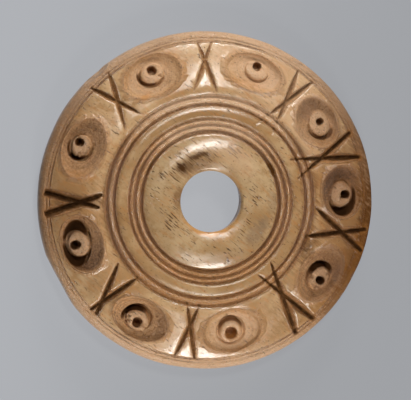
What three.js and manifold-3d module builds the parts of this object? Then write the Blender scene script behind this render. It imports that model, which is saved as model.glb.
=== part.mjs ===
// A lathe-turned bone spindle whorl: a low dome with a smooth round boss about its bore, two sets of
// turned grooves, and a full, convex border carved with nine drilled eyes and nine crossed strokes.
// Millimetres, +Z up. The whorl lies on its flat underside, with the bore's axis on Z.

import * as THREE from "three";
import { mergeVertices } from "three/addons/utils/BufferGeometryUtils.js";
import Module from "manifold-3d";

const wasm = await Module();
wasm.setup();

// Overall sizes
const DIAMETER = 40;
const HEIGHT = 6;
const SEGMENTS = 60;

// The bore, a little wider below for a tapered spindle
const BORE_DIAMETER = 7.2;
const BORE_TAPER = 0.62;
const BORE_CHAMFER = 0.3;

// The boss round the bore: its crown's distance from the bore, and its fall to each side of it
const BOSS_CROWN = 1.7;
const BOSS_SHOULDER = 2.65;
const BOSS_FALL_IN = 0.35;
const BOSS_FALL_OUT = 0.6;

// The turned grooves inside and outside a plain band
const INNER_GROOVES = 3;
const INNER_PITCH = 0.7;
const OUTER_GROOVES = 2;
const OUTER_PITCH = 0.8;
const GROOVE_DEPTH = 0.3;
const BAND_WIDTH = 1.1;
const BAND_DROP = 0.7;
const BAND_FALL = 0.12;
const BAND_BULGE = 0.08;

// The carved border, from its rounded inner lip down to its foot at the rim
const BORDER_DROP = 1.15;
const BORDER_FOOT = 2.95;
const BORDER_BULGE = 0.28;
const LIP_WIDTH = 1.2;
const LIP_BULGE = 0.08;

// The rim: a sloping face with two scored lines, a rounded shoulder and a rounded lower edge
const RIM_WIDTH = 1.2;
const RIM_FALL = 0.35;
const RIM_LINES = 2;
const RIM_LINE_WIDTH = 0.16;
const RIM_LINE_DEPTH = 0.12;
const SHOULDER_WIDTH = 0.5;
const SHOULDER_HEIGHT = 1.1;
const SHOULDER_BULGE = 0.16;
const EDGE_ROUND = 0.6;
const EDGE_BULGE = 0.17;

// Radii and levels that follow from the sizes above
const rim = DIAMETER / 2;
const bore = BORE_DIAMETER / 2;
const crown = bore + BOSS_CROWN;
const bossEdge = crown + BOSS_SHOULDER;
const bossFoot = HEIGHT - BOSS_FALL_OUT;
const bandInner = bossEdge + INNER_GROOVES * INNER_PITCH;
const bandOuter = bandInner + BAND_WIDTH;
const bandTop = HEIGHT - BAND_DROP;
const borderInner = bandOuter + OUTER_GROOVES * OUTER_PITCH;
const borderOuter = rim - RIM_WIDTH;
const borderTop = HEIGHT - BORDER_DROP;

// A round stretch of the profile: the arc from a to b that stands out from its chord by bulge
function arcBetween(a, b, bulge) {
  const chord = b.clone().sub(a);
  const radius = chord.lengthSq() / (8 * bulge) + bulge / 2;
  const outward = new THREE.Vector2(-chord.y, chord.x).normalize();
  const centre = a.clone().add(b).multiplyScalar(0.5).addScaledVector(outward, bulge - radius);
  const from = Math.atan2(a.y - centre.y, a.x - centre.x);
  const to = Math.atan2(b.y - centre.y, b.x - centre.x);
  return { centre, radius, from, to };
}

function pointsOn(arc, steps) {
  return Array.from({ length: steps + 1 }, (_, i) => {
    const angle = arc.from + ((arc.to - arc.from) * i) / steps;
    const out = new THREE.Vector2(Math.cos(angle), Math.sin(angle));
    return arc.centre.clone().addScaledVector(out, arc.radius);
  });
}

const at = (r, z) => new THREE.Vector2(r, z);

// One side of a rounded crown, which falls away from its top with the square of the distance
function fallFrom(top, end, fall, steps) {
  return Array.from({ length: steps + 1 }, (_, i) => {
    const part = i / steps;
    return at(top.x + (end - top.x) * part, top.y - fall * part ** 2);
  });
}

// The border's surface, which the eyes and strokes are placed on
const borderCrown = at(borderInner + LIP_WIDTH, borderTop);
const border = arcBetween(borderCrown, at(borderOuter, BORDER_FOOT), BORDER_BULGE);

function borderLevel(r) {
  const across = r - border.centre.x;
  return border.centre.y + Math.sqrt(border.radius ** 2 - across ** 2);
}

function borderSlope(r) {
  return Math.asin((r - border.centre.x) / border.radius);
}

// A set of grooves from one radius outwards, between two levels: a notch, then a ridge, and so on
function grooves(count, pitch, start, levelIn, levelOut) {
  const points = [];
  for (let i = 0; i < count; i += 1) {
    const level = levelIn + ((levelOut - levelIn) * (i + 0.5)) / count;
    const ridge = levelIn + ((levelOut - levelIn) * (i + 1)) / count;
    points.push(at(start + pitch * (i + 0.42), level - GROOVE_DEPTH));
    if (i < count - 1) points.push(at(start + pitch * (i + 0.92), ridge - GROOVE_DEPTH / 5));
  }
  return points;
}

// The rim's sloping face, with a narrow notch at the head of each of its lines
function rimFace() {
  const points = [];
  const width = RIM_WIDTH - SHOULDER_WIDTH;
  for (let i = 0; i < RIM_LINES; i += 1) {
    const along = (width * i) / RIM_LINES;
    const level = BORDER_FOOT - (RIM_FALL * along) / width;
    points.push(at(borderOuter + along + RIM_LINE_WIDTH / 2, level - RIM_LINE_DEPTH));
    points.push(at(borderOuter + along + RIM_LINE_WIDTH, level));
  }
  return points;
}

// The whole section, from the foot of the bore up, over the face, down the rim and back underneath
function section() {
  const top = at(crown, HEIGHT);
  const lip = at(borderInner, borderTop);
  const bandFoot = at(bandOuter, bandTop - BAND_FALL);
  const shoulder = at(rim - SHOULDER_WIDTH, BORDER_FOOT - RIM_FALL);
  const side = at(rim, shoulder.y - SHOULDER_HEIGHT);
  return [
    at(bore + BORE_TAPER + BORE_CHAMFER, 0),
    at(bore + BORE_TAPER, BORE_CHAMFER),
    ...fallFrom(top, bore, BOSS_FALL_IN, 3).reverse(),
    ...fallFrom(top, bossEdge, BOSS_FALL_OUT, 4).slice(1),
    ...grooves(INNER_GROOVES, INNER_PITCH, bossEdge, bossFoot, bandTop),
    ...pointsOn(arcBetween(at(bandInner, bandTop), bandFoot, BAND_BULGE), 2),
    ...grooves(OUTER_GROOVES, OUTER_PITCH, bandOuter, bandFoot.y, borderTop),
    ...pointsOn(arcBetween(lip, borderCrown, LIP_BULGE), 2),
    ...pointsOn(border, 5).slice(1),
    ...rimFace(),
    ...pointsOn(arcBetween(shoulder, side, SHOULDER_BULGE), 2),
    ...pointsOn(arcBetween(at(rim, EDGE_ROUND), at(rim - EDGE_ROUND, 0), EDGE_BULGE), 2),
  ];
}

// Turns a closed section, in radius and height, about Z
function turned(points, segments) {
  const loop = [...points, points[0]].reverse();
  return new THREE.LatheGeometry(loop, segments).rotateX(Math.PI / 2);
}

function solid(geometry) {
  const bare = geometry.clone();
  bare.deleteAttribute("normal");
  bare.deleteAttribute("uv");
  const merged = mergeVertices(bare, 1e-4);
  const triangles = [];
  for (let i = 0; i < merged.index.count; i += 3) {
    const [a, b, c] = merged.index.array.slice(i, i + 3);
    if (a !== b && b !== c && c !== a) triangles.push(a, b, c);
  }
  const mesh = new wasm.Mesh({
    numProp: 3,
    vertProperties: new Float32Array(merged.attributes.position.array),
    triVerts: new Uint32Array(triangles),
  });
  return new wasm.Manifold(mesh);
}

// The eyes, drilled square to the border with a centre bit held by hand. Each has its angle, and from
// the circle that the eyes stand on, in millimetres anticlockwise and outwards, the middles of its
// drilled point, button, ring groove and dish. Button, ring and dish also have their half sizes, along
// and across. The millimetres hold on a border of EYE_BORDER, and the eyes grow with a wider one.
const EYES = [
  {
    angle: 1.5,
    point: [0.25, 0.35],
    button: [0.2, -0.15, 1.55, 1.4],
    ring: [-0.1, 0.05, 2.2, 1.6],
    dish: [0.5, -0.2, 3.2, 2.6],
  },
  {
    angle: 34,
    point: [0.23, 0.21],
    button: [0, -0.05, 1.5, 1.25],
    ring: [-0.15, 0, 1.8, 1.45],
    dish: [0.4, -0.3, 3.2, 2.5],
  },
  {
    angle: 69.2,
    point: [0.13, 0.75],
    button: [0, 0.3, 1.35, 1],
    ring: [0, 0.27, 1.55, 1.2],
    dish: [0.3, -0.05, 3.6, 2.15],
  },
  {
    angle: 114.2,
    point: [-0.17, 0.73],
    button: [0, 0.38, 1.4, 1.15],
    ring: [0.12, 0.33, 1.65, 1.38],
    dish: [0, 0, 3.6, 2.45],
  },
  {
    angle: 157.2,
    point: [-0.5, 0.73],
    button: [-0.15, 0.4, 1.3, 1.1],
    ring: [-0.05, 0.4, 1.6, 1.35],
    dish: [-0.1, 0, 3.6, 2.4],
  },
  {
    angle: 197.8,
    point: [0, 0.51],
    button: [-0.05, 0.1, 1.6, 1.25],
    ring: [-0.2, 0.25, 2.7, 1.5],
    dish: [0.1, -0.3, 3.55, 2.45],
  },
  {
    angle: 239.2,
    point: [0.03, 0.53],
    button: [-0.15, 0.25, 1.4, 1.2],
    ring: [-0.3, 0.1, 1.8, 1.58],
    dish: [0.1, -0.1, 3.55, 2.35],
  },
  {
    angle: 280.2,
    point: [-0.08, -0.14],
    button: [-0.1, -0.4, 1.42, 1.4],
    ring: [-0.1, -0.45, 1.8, 1.78],
    dish: [0, -0.6, 3.75, 2.6],
  },
  {
    angle: 326.2,
    point: [-0.4, 0.36],
    button: [-0.25, 0.1, 1.5, 1.15],
    ring: [-0.1, -0.05, 1.95, 1.48],
    dish: [0.1, -0.25, 3.5, 2.5],
  },
];
const EYE_BORDER = 6.05;
const EYE_CIRCLE_OUT = 0.42;

// The centre bit's own shape: a fine drill point, a rounded button left standing round it, a ring
// groove, and a bowl-shaped dish that runs out on the border
const DOT_RADIUS = 0.52;
const DOT_DEPTH = 1.5;
const BUTTON_RADIUS = 1.3;
const BUTTON_TOP = 0.4;
const BUTTON_SHOULDER = 0.68;
const RING_RADIUS = 1.6;
const RING_DEPTH = 1.2;
const RING_WALL = 0.12;
const DISH_RADIUS = 3.2;
const DISH_DEPTH = 0.66;
const DISH_WALL = 0.5;
const BIT_SEGMENTS = 18;
const CUTTER_HEIGHT = 1;

function centreBit() {
  const wall = DISH_RADIUS - DISH_WALL;
  const edge = [
    at(0, -DOT_DEPTH),
    at(DOT_RADIUS * 0.8, -DOT_DEPTH),
    at(DOT_RADIUS, -BUTTON_TOP),
    at((DOT_RADIUS + BUTTON_RADIUS) / 2, -BUTTON_TOP - (BUTTON_SHOULDER - BUTTON_TOP) / 4),
    at(BUTTON_RADIUS, -BUTTON_SHOULDER),
    at(BUTTON_RADIUS + RING_WALL, -RING_DEPTH),
    at(RING_RADIUS - RING_WALL, -RING_DEPTH),
    at(RING_RADIUS, -DISH_DEPTH),
    at(wall, -DISH_DEPTH * 0.62),
    at(DISH_RADIUS, 0),
    at(DISH_RADIUS + DISH_WALL, CUTTER_HEIGHT),
    at(0, CUTTER_HEIGHT),
  ];
  return new THREE.LatheGeometry(edge, BIT_SEGMENTS).rotateX(Math.PI / 2);
}

// Where a value that the drill point, the button, the ring and the dish's edge each have comes to at
// one of the bit's radii. It runs on past the dish's edge in the same way.
function spread(reach, ofPoint, ofButton, ofRing, ofDish) {
  const radii = [DOT_RADIUS, BUTTON_RADIUS, RING_RADIUS, DISH_RADIUS];
  const values = [ofPoint, ofButton, ofRing, ofDish];
  if (reach <= DOT_RADIUS) return ofPoint;
  const next = radii.findIndex((radius) => reach <= radius);
  const k = next < 0 ? radii.length - 1 : next;
  return THREE.MathUtils.mapLinear(reach, radii[k - 1], radii[k], values[k - 1], values[k]);
}

// One eye's cutter: the bit's shape, stretched to this eye and laid over the curve of the border
function eyeCutter({ angle, point, button, ring, dish }) {
  const fit = (borderOuter - borderInner) / EYE_BORDER;
  const circle = (borderInner + borderOuter) / 2 + EYE_CIRCLE_OUT * fit;
  const slope = borderSlope(circle);
  const bit = centreBit();
  const places = bit.attributes.position;
  for (let i = 0; i < places.count; i += 1) {
    const [x, y, height] = [places.getX(i), places.getY(i), places.getZ(i)];
    const reach = Math.hypot(x, y);
    const turn = Math.atan2(y, x);
    const drilled = [...point, Math.min(reach, DOT_RADIUS), Math.min(reach, DOT_RADIUS)];
    const [middleAlong, middleOut, halfAlong, halfOut] = drilled.map((value, k) =>
      spread(reach, value, button[k], ring[k], dish[k]),
    );
    const bend = (fit * (middleAlong + halfAlong * Math.sin(turn))) / circle;
    const r = circle + fit * (middleOut + halfOut * Math.cos(turn));
    const level = borderLevel(r);
    places.setXYZ(
      i,
      r * Math.cos(bend) + height * Math.sin(slope),
      r * Math.sin(bend),
      level + height * Math.cos(slope),
    );
  }
  return bit.rotateZ(THREE.MathUtils.degToRad(angle));
}

// The crosses: two straight strokes each. Degrees of the pair's ends at the rim and further in,
// and how far the strokes stop short of the border's inner edge, or run past it if negative. One
// pair is cut deeper than the others.
const CROSSES = [
  { rimEnds: [15.6, 24.7], innerEnds: [14.4, 27], short: -1.6 },
  { rimEnds: [48, 54.6], innerEnds: [47.4, 58.5], short: -1.6 },
  { rimEnds: [88.6, 93.6], innerEnds: [86, 98.9], short: 0.2 },
  { rimEnds: [127.9, 135.8], innerEnds: [127.6, 140.1], short: 0.4 },
  { rimEnds: [176.9, 184.1], innerEnds: [176.2, 182.8], short: 0.3, deeper: 0.16 },
  { rimEnds: [222.3, 225], innerEnds: [213.6, 226], short: 0.2 },
  { rimEnds: [258.1, 265.2], innerEnds: [256.6, 264.2], short: -0.5 },
  { rimEnds: [304.2, 312.1], innerEnds: [303.5, 314.8], short: -1.8 },
  { rimEnds: [342.2, 349.4], innerEnds: [339.8, 356], short: -0.1 },
];
const STROKE_BITE = 0.22;
const STROKE_HALF_ANGLE = THREE.MathUtils.degToRad(32);

function onFace(r, angle, level) {
  const turn = THREE.MathUtils.degToRad(angle);
  return new THREE.Vector3(r * Math.cos(turn), r * Math.sin(turn), level);
}

// The level of the face under a stroke's inner end, on the border or past its lip on the band
function faceLevel(r) {
  if (r > borderCrown.x) return borderLevel(r);
  const past = THREE.MathUtils.clamp((borderInner - r) / (borderInner - bandOuter), 0, 1);
  return borderTop + (bandTop - borderTop) * past;
}

// A knife stroke: a three-sided prism, keel down, along the chord between two points of the face.
// The border swells above the chord, so the cut is deepest midway and runs out at its ends.
function strokeCutter(rimAngle, innerAngle, short, bite) {
  const inner = borderInner + short;
  const start = onFace(borderOuter, rimAngle, BORDER_FOOT - bite);
  const end = onFace(inner, innerAngle, faceLevel(inner) - bite);
  const half = CUTTER_HEIGHT * Math.tan(STROKE_HALF_ANGLE);
  const blade = new THREE.Shape([at(0, 0), at(half, CUTTER_HEIGHT), at(-half, CUTTER_HEIGHT)]);
  const along = end.clone().sub(start);
  const cutter = new THREE.ExtrudeGeometry(blade, { depth: along.length(), bevelEnabled: false });
  along.normalize();
  const across = new THREE.Vector3(0, 0, 1).cross(along).normalize();
  const up = along.clone().cross(across);
  const frame = new THREE.Matrix4().makeBasis(across, up, along).setPosition(start);
  return cutter.applyMatrix4(frame);
}

// Damage to the edge: one bruise where a flake is lost, and one stretch worn flat
const FLAKE = { angle: 131, radius: 6, depth: 0.45, level: 2.2 };
const WORN_FLAT = { angle: 208, depth: 0.28 };

function flakeCutter() {
  const ball = new THREE.SphereGeometry(FLAKE.radius, 20, 14);
  ball.translate(rim + FLAKE.radius - FLAKE.depth, 0, FLAKE.level);
  return ball.rotateZ(THREE.MathUtils.degToRad(FLAKE.angle));
}

function flatCutter() {
  const block = new THREE.BoxGeometry(DIAMETER, DIAMETER, DIAMETER);
  block.translate(rim - WORN_FLAT.depth + rim, 0, 0);
  return block.rotateZ(THREE.MathUtils.degToRad(WORN_FLAT.angle));
}

function cutters() {
  const eyes = EYES.map(eyeCutter);
  const strokes = CROSSES.flatMap(({ rimEnds, innerEnds, short, deeper = 0 }) => [
    strokeCutter(rimEnds[0], innerEnds[1], short, STROKE_BITE + deeper),
    strokeCutter(rimEnds[1], innerEnds[0], short, STROKE_BITE + deeper),
  ]);
  return [...eyes, ...strokes, flakeCutter(), flatCutter()];
}

function carvedWhorl() {
  const blank = solid(turned(section(), SEGMENTS));
  const carved = cutters().reduce((left, cutter) => left.subtract(solid(cutter)), blank);
  const mesh = carved.getMesh();
  const geometry = new THREE.BufferGeometry();
  geometry.setAttribute("position", new THREE.BufferAttribute(mesh.vertProperties, 3));
  geometry.setIndex(new THREE.BufferAttribute(mesh.triVerts, 1));
  geometry.computeVertexNormals();
  return geometry;
}

const bone = new THREE.MeshStandardMaterial({ color: 0xc9aa80, roughness: 0.42, metalness: 0 });

const whorl = new THREE.Mesh(carvedWhorl(), bone);
whorl.name = "spindle_whorl";

const model = new THREE.Group();
model.add(whorl);

export default model;
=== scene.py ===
import math

import bpy
import numpy as np
from mathutils import Matrix, Vector


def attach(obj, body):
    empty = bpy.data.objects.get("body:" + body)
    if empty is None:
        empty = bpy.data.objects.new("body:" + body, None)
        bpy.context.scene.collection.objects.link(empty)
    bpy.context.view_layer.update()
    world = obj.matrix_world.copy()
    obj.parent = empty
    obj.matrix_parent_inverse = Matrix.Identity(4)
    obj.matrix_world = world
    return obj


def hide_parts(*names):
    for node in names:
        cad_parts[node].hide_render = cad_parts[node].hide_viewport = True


bl_info = {
    "name": "Bone spindle whorl",
    "version": (1, 0, 0),
    "blender": (4, 5, 0),
    "location": "3D View > Sidebar > Whorl",
    "description": "Turns, drills and carves a bone spindle whorl and lights it on a plain floor",
    "category": "Add Mesh",
}

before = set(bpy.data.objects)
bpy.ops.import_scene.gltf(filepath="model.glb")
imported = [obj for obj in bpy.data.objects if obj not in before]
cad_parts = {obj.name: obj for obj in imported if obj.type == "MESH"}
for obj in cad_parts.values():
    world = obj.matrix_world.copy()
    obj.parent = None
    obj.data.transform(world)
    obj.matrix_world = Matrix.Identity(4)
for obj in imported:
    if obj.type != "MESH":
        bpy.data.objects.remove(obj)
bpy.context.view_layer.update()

# The whorl is worked in millimetres and brought down to metres when its shape is done, because the
# remesher takes no voxel finer than a tenth of a thousandth of a unit.
MM = 0.001

# The floor lies this much under the whorl, in metres, so that the two flat faces don't show through
# each other
FLOOR_GAP = 0.00003

# Turned grooves on the face: radius, half width and depth
GROOVES = (
    (8.22, 0.34, 0.5),
    (9.03, 0.34, 0.36),
    (9.7, 0.28, 0.34),
    (11.42, 0.3, 0.4),
    (12.3, 0.34, 0.34),
    (18.84, 0.11, 0.19),
    (19.2, 0.1, 0.14),
)

# The eyes, drilled with a centre bit held by hand. Angle in degrees, then from the circle that the eyes
# stand on, in millimetres anticlockwise and outwards: the middle of the drilled point, then the middle and
# half sizes of the button, of the ring groove's mouth and of the dish. Then the ring's turn, the side where
# it is deeper, both in degrees, how much deeper, and how much deeper it is all round. Last the point's
# radius
EYE_CIRCLE = 16.2
EYES = (
    (1.5, (0.25, 0.35), (0.2, -0.15, 1.55, 1.4), (-0.1, 0.05, 2.2, 1.6), (0.5, -0.2, 3.2, 2.6),
     (0, 171, 0.45, 0.05), 0.5),
    (34.0, (0.23, 0.21), (0.0, -0.05, 1.5, 1.25), (-0.15, 0.0, 1.8, 1.45), (0.4, -0.3, 3.2, 2.5),
     (0, 204, 0.35, -0.2), 0.42),
    (69.2, (0.13, 0.81), (0.0, 0.3, 1.35, 1.0), (0.0, 0.27, 1.55, 1.2), (0.3, -0.05, 3.6, 2.15),
     (0, 253, 0.3, -0.35), 0.5),
    (114.2, (-0.17, 0.73), (0.0, 0.38, 1.4, 1.15), (0.12, 0.33, 1.65, 1.38), (0.0, 0.0, 3.6, 2.45),
     (0, 320, 0.35, -0.15), 0.5),
    (157.2, (-0.5, 0.73), (-0.15, 0.4, 1.3, 1.1), (-0.05, 0.4, 1.6, 1.35), (-0.1, 0.0, 3.6, 2.4),
     (0, 11, 0.35, 0.0), 0.45),
    (197.8, (0.0, 0.51), (-0.05, 0.1, 1.6, 1.25), (-0.2, 0.25, 2.7, 1.5), (0.1, -0.3, 3.55, 2.45),
     (14, 0, 0.0, 0.3), 0.52),
    (239.2, (0.03, 0.53), (-0.15, 0.25, 1.4, 1.2), (-0.3, 0.1, 1.8, 1.58), (0.1, -0.1, 3.55, 2.35),
     (0, 233, 0.45, 0.1), 0.55),
    (280.2, (-0.08, -0.14), (-0.1, -0.4, 1.42, 1.4), (-0.1, -0.45, 1.8, 1.78), (0.0, -0.6, 3.75, 2.6),
     (0, 270, 0.2, 0.0), 0.67),
    (326.2, (-0.4, 0.36), (-0.25, 0.1, 1.5, 1.15), (-0.1, -0.05, 1.95, 1.48), (0.1, -0.25, 3.5, 2.5),
     (0, 323, 0.45, 0.1), 0.5),
)

# Grime and painted shade in the eyes, in the same order: in the drilled point, in the ring groove and the
# two sides of the ring where it lies, in the dish and the side of the dish. The dark sides of the rings and
# dishes are painted shade. Sides are in degrees, 0 anticlockwise and 90 outwards
EYE_DIRT_AND_SHADE = (
    (1.0, 1.0, (165, 110), 0.95, 335),
    (0.5, 0.5, (200, 200), 0.6, 25),
    (0.4, 0.0, (250, 250), 0.08, 90),
    (0.4, 0.45, (325, 325), 0.1, 60),
    (0.8, 0.8, (15, 40), 0.5, 180),
    (1.0, 1.0, (180, 35), 0.85, 345),
    (0.5, 0.95, (225, 215), 0.5, 15),
    (0.0, 0.35, (265, 290), 0.0, 90),
    (1.0, 1.0, (325, 335), 0.7, 60),
)

# The centre bit's own radii: the edge of the button, the mouth of the ring groove and the dish's edge
BUTTON_EDGE = 1.3
RING_MOUTH = 1.6
DISH_EDGE = 3.2

# Crumbled places in and beside the eyes: angle, radius, size and depth
CRUMBS = (
    (161.3, 17.0, 0.34, 0.35),
    (161.4, 16.45, 0.3, 0.35),
    (160.2, 16.3, 0.32, 0.3),
    (159.6, 15.9, 0.26, 0.3),
    (154.2, 17.05, 0.3, 0.35),
    (157.9, 15.6, 0.17, 0.2),
    (156.9, 15.55, 0.16, 0.2),
    (156.0, 15.65, 0.15, 0.2),
    (328.5, 16.75, 0.24, 0.25),
    (321.4, 16.35, 0.3, 0.3),
    (322.3, 16.8, 0.2, 0.2),
    (323.5, 15.3, 0.26, 0.25),
    (242.9, 16.6, 0.22, 0.3),
    (241.7, 16.5, 0.2, 0.25),
    (235.7, 16.95, 0.26, 0.3),
    (234.8, 16.45, 0.2, 0.25),
    (248.4, 15.9, 0.11, 0.12),
    (247.0, 15.3, 0.12, 0.12),
    (245.2, 14.9, 0.13, 0.14),
    (247.7, 14.7, 0.1, 0.1),
    (5.6, 15.2, 0.15, 0.2),
    (0.8, 15.95, 0.28, 0.4),
    (111.5, 15.9, 0.22, 0.2),
    (110.7, 15.45, 0.2, 0.15),
    (114.9, 17.15, 0.16, 0.12),
    (199.7, 15.95, 0.12, 0.12),
    (201.0, 15.75, 0.1, 0.1),
    (331.0, 13.6, 0.2, 0.12),
    (333.4, 12.9, 0.3, 0.15),
    (336.0, 13.1, 0.22, 0.12),
)

# Stains in the bone, and painted light and shade laid the same way: angle and radius of the middle, half
# sizes along and across the turning, strength, and which of the bone's colours it takes
STAINS_LIGHT_AND_SHADE = (
    # Painted light: the next two rows make the turned grooves pale at the top, which faces the lights
    (90.0, 8.9, 8.0, 0.95, 0.9, "button"),
    (88.0, 12.1, 11.0, 0.75, 1.0, "button"),
    (58.0, 5.9, 2.8, 1.5, 0.35, "button"),
    (94.0, 6.6, 2.0, 0.9, 0.3, "button"),
    (116.0, 4.9, 2.7, 1.2, 0.5, "halo_and_shade"),
    (130.5, 5.45, 0.6, 0.75, 1.0, "stain"),
    (124.0, 4.9, 0.8, 0.6, 0.5, "stain"),
    (106.0, 5.65, 1.1, 0.4, 0.85, "stain"),
    (172.0, 4.0, 1.5, 0.6, 0.6, "halo_and_shade"),
    (325.0, 6.5, 1.7, 1.0, 0.4, "ash"),
    (338.0, 6.9, 1.0, 0.7, 0.3, "ash"),
    (0.0, 7.4, 1.6, 0.7, 0.25, "ash"),
    # Painted light: an amber glow on the lower edge of the bore
    (270.0, 3.85, 3.4, 0.3, 0.8, "glow"),
    (294.0, 4.5, 1.6, 0.6, 0.3, "glow"),
    (121.5, 14.5, 0.9, 0.35, 0.8, "glow"),
    (168.5, 15.7, 0.6, 1.8, 0.7, "glow"),
    (42.5, 16.3, 1.0, 1.9, 0.75, "halo_and_shade"),
    (10.0, 16.2, 1.2, 2.2, 0.6, "halo_and_shade"),
    (72.0, 14.6, 3.0, 0.5, 0.5, "glow"),
    (28.0, 8.24, 1.0, 0.35, 0.9, "soil_and_shade"),
    # Painted shade: the next eight rows darken the right and left sides, which the lights from above and
    # below reach only at a slant
    (356.0, 19.9, 18.0, 1.6, 1.0, "soil_and_shade"),
    (352.0, 19.8, 12.0, 1.2, 1.0, "soil_and_shade"),
    (354.0, 18.0, 16.0, 5.5, 0.6, "halo_and_shade"),
    (2.0, 12.0, 9.0, 1.0, 0.7, "halo_and_shade"),
    (182.0, 12.0, 8.0, 1.0, 0.6, "halo_and_shade"),
    (0.0, 8.9, 6.0, 1.2, 0.45, "halo_and_shade"),
    (180.0, 8.9, 6.0, 1.2, 0.35, "halo_and_shade"),
    (178.0, 17.5, 12.0, 4.0, 0.3, "halo_and_shade"),
    # Painted light: the next two rows make the rim pale at the bottom and top, which face the lights
    (262.0, 19.6, 22.0, 1.2, 0.55, "button"),
    (84.0, 19.6, 24.0, 1.2, 0.4, "button"),
    (100.0, 19.7, 16.0, 1.0, 0.1, "ash"),
    (60.0, 17.0, 9.0, 3.0, 0.4, "button"),
    (45.0, 13.6, 6.0, 1.2, 0.35, "button"),
    (280.0, 15.8, 3.3, 2.3, 0.4, "button"),
    (279.9, 16.06, 0.85, 0.85, 1.0, "glow"),
    (279.9, 16.06, 0.85, 0.85, 0.6, "halo_and_shade"),
    (114.0, 16.3, 3.3, 2.3, 0.25, "button"),
    (70.0, 16.3, 3.3, 2.1, 0.25, "button"),
    (36.0, 19.7, 8.0, 1.2, 0.35, "halo_and_shade"),
    (320.0, 19.4, 7.0, 1.4, 0.3, "glow"),
    (332.0, 19.5, 7.0, 1.2, 0.6, "halo_and_shade"),
    (337.0, 18.2, 3.5, 1.3, 0.6, "halo_and_shade"),
    (136.0, 19.6, 9.0, 1.1, 0.12, "ash"),
    # Painted shade: the rim is darkened on the left, which faces away from the lights
    (172.0, 19.5, 14.0, 1.0, 0.35, "stain"),
    (334.0, 13.1, 1.8, 0.9, 0.55, "stain"),
    (180.0, 15.6, 0.9, 2.6, 0.6, "soil_and_shade"),
)

# Places where the bone's pores lie open: angle, radius, and half sizes along and across the turning
PORE_PATCHES = (
    (204.0, 5.6, 1.7, 1.3),
    (64.0, 6.8, 2.3, 1.0),
    (0.0, 5.4, 0.9, 0.9),
    (321.0, 4.9, 1.3, 1.0),
    (276.0, 4.9, 0.9, 0.8),
    (287.0, 7.1, 0.8, 0.5),
    (154.0, 6.1, 2.3, 1.7),
    (97.0, 5.4, 2.6, 1.3),
)

# The crosses' strokes, two to a cross: angle and radius at the rim, angle and radius at the inner end, and
# the depth at both ends
FIRST_STROKES = (
    (15.6, 18.85, 27.0, 10.81, 0.38),
    (48.0, 18.77, 59.0, 10.7, 0.2),
    (88.6, 18.75, 98.9, 13.07, 0.14),
    (127.9, 19.02, 140.1, 13.12, 0.2),
    (176.9, 19.02, 182.8, 13.21, 0.62),
    (222.5, 18.67, 225.9, 12.53, 0.36),
    (258.1, 18.51, 264.2, 12.25, 0.25),
    (304.2, 18.88, 314.8, 10.23, 0.4),
    (342.2, 19.43, 356.0, 12.77, 0.42),
)
SECOND_STROKES = (
    (24.7, 18.78, 14.4, 10.88, 0.38),
    (54.6, 18.72, 47.4, 10.95, 0.2),
    (93.6, 18.79, 86.0, 12.79, 0.14),
    (135.8, 19.02, 128.2, 13.13, 0.22),
    (184.1, 19.0, 176.2, 12.89, 0.62),
    (224.8, 18.6, 213.6, 13.15, 0.4),
    (265.2, 18.66, 256.6, 12.03, 0.25),
    (312.1, 18.83, 303.5, 10.53, 0.38),
    (349.4, 19.3, 339.8, 12.22, 0.4),
)

# Flakes off the edge: angle, radius and level of the middle of the round cutter, and its size
CHIPS = (
    (131, 25.35, 2.2, 5.8),
    (161.5, 20.6, 3.4, 1.2),
)

# A stretch of the rim worn flat: angle, and how far it stands from the bore's axis
WORN_FLAT = (208, 19.72)

# The way that the bone's fibres run, in degrees
GRAIN_ANGLE = 39

# The lights, named as in the studio settings: width and height of the softbox in metres, azimuth and
# elevation in degrees, and colour
LIGHTS = (
    ("key", 0.11, 0.13, 74, 60, (1.0, 0.985, 0.96)),
    ("low_key", 0.2, 0.1, 82, 16, (1.0, 0.985, 0.96)),
    ("fill", 0.15, 0.15, 270, 54, (1.0, 0.97, 0.94)),
    ("low_fill", 0.13, 0.12, 279, 32, (1.0, 0.97, 0.94)),
    ("foot_fill", 0.2, 0.08, 274, 12, (1.0, 0.97, 0.94)),
)
LIGHT_DISTANCE = 0.6

# The camera: where it leans to, in degrees, how far off it stands and how wide it sees, in metres
CAMERA_AZIMUTH = 165
CAMERA_DISTANCE = 0.6
SEEN_WIDTH = 0.04874


class WhorlSizes(bpy.types.PropertyGroup):
    radius: bpy.props.FloatProperty(
        name="Radius", description="From the bore's axis to the rim, in millimetres", default=20.0, min=10.0
    )
    height: bpy.props.FloatProperty(
        name="Height", description="Underside to the crown of the boss, in millimetres", default=6.0, min=3.0
    )
    bore: bpy.props.FloatProperty(
        name="Bore", description="Width of the bore at the face, in millimetres", default=7.2, min=2.0
    )
    taper: bpy.props.FloatProperty(
        name="Bore taper", description="How much wider each side is underneath, in millimetres", default=0.62
    )
    steps: bpy.props.IntProperty(
        name="Turning steps", description="Sides of the turned blank", default=224, min=32
    )
    grain: bpy.props.FloatProperty(
        name="Finest detail", description="Voxel size of the worn surface, in millimetres", default=0.075
    )
    faces: bpy.props.IntProperty(
        name="Face budget", description="Triangles kept in the finished whorl", default=190000, min=20000
    )


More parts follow.
